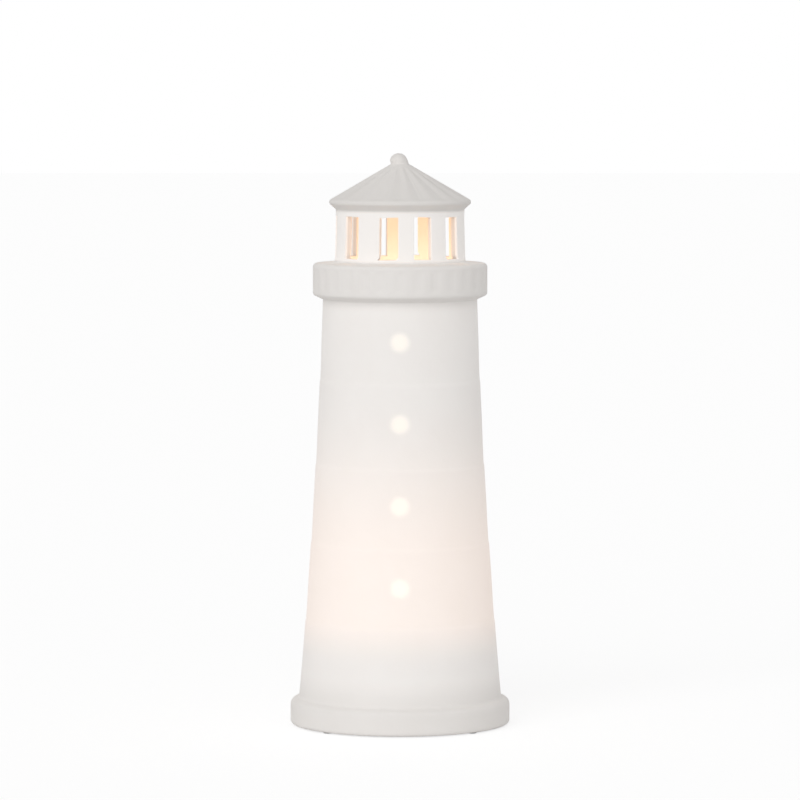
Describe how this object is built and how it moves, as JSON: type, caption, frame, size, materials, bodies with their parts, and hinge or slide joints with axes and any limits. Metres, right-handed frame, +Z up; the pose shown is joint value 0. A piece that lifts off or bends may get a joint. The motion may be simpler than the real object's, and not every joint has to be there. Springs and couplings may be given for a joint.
{
  "type": "porcelain lighthouse light",
  "caption": "Unglazed porcelain lighthouse lit from inside, with lantern windows and portholes, over a clip-in lamp holder and LED lamp.",
  "frame": {"origin": "centre of the foot, on the surface that it stands on", "axes": "+Z up, -Y towards the front with the row of portholes, +Y towards the cord notch"},
  "size_m": [0.1156, 0.1155, 0.3],
  "materials": {
    "porcelain": "unglazed bisque porcelain, slightly translucent",
    "clear_silicone": "clear silicone",
    "holder_plastic": "fine-grained moulded thermoplastic",
    "insulator_ceramic": "unglazed steatite",
    "brass": "machined",
    "plated_steel": "bright zinc plate",
    "spring_bronze": "rolled phosphor bronze",
    "black_rubber": "soft black rubber",
    "nickel_plate": "drawn and nickel plated",
    "black_insulator": "moulded black insulator",
    "solder": "tinned",
    "lamp_plastic": "white moulded plastic",
    "aluminium": "pressed aluminium",
    "circuit_board": "solder-masked board",
    "led_board": "white solder mask on aluminium",
    "led_phosphor": "warm white LED, emissive",
    "component_black": "sleeved electrolytic can",
    "copper_coil": "wound and varnished",
    "opal_plastic": "opal diffuser, emissive"
  },
  "bodies": {
    "base_unit": {"holder_body": "holder_plastic", "bottom_cover": "holder_plastic", "cover_screws": "plated_steel", "terminal_insert": "insulator_ceramic", "insert_screws": "plated_steel", "neutral_terminal": "brass", "live_terminal": "brass", "terminal_screws": "plated_steel", "screw_shell": "nickel_plate", "cord_bush": "black_rubber"},
    "tower": {"tower_casting": "porcelain", "foot_pad_1": "clear_silicone", "foot_pad_2": "clear_silicone", "foot_pad_3": "clear_silicone", "foot_pad_4": "clear_silicone"},
    "bulb": {"bulb_tip": "solder", "bulb_insulator": "black_insulator", "bulb_cap": "nickel_plate", "bulb_housing": "lamp_plastic", "bulb_heat_sink": "aluminium", "bulb_led_board": "led_board", "bulb_leds": "led_phosphor", "bulb_diffuser": "opal_plastic", "bulb_driver_board": "circuit_board", "driver_capacitor": "component_black", "driver_coil": "copper_coil"},
    "clip_right": {"spring_clip_right": "spring_bronze"},
    "clip_left": {"spring_clip_left": "spring_bronze"},
    "contact": {"centre_contact": "spring_bronze"}
  },
  "joints": [
    {"name": "tower_lift", "type": "slide", "parent": "base_unit", "child": "tower", "axis": [0, 0, 1], "range_m": [0, 0.12]},
    {"name": "bulb_lift", "type": "slide", "parent": "base_unit", "child": "bulb", "axis": [0, 0, 1], "range_m": [0, 0.03]},
    {"name": "clip_right_flex", "type": "hinge", "parent": "base_unit", "child": "clip_right", "pos_m": [0.0218, 0, 0.0283], "axis": [0, 1, 0], "range_deg": [0, 5], "stiffness_Nm_per_rad": 0.05, "springref_deg": -5.73},
    {"name": "clip_left_flex", "type": "hinge", "parent": "base_unit", "child": "clip_left", "pos_m": [-0.0218, 0, 0.0283], "axis": [0, -1, 0], "range_deg": [0, 5], "stiffness_Nm_per_rad": 0.05, "springref_deg": -5.73},
    {"name": "contact_flex", "type": "hinge", "parent": "base_unit", "child": "contact", "pos_m": [-0.01, 0, 0.0147], "axis": [0, 1, 0], "range_deg": [0, 4], "stiffness_Nm_per_rad": 0.02, "springref_deg": -5.73}
  ]
}
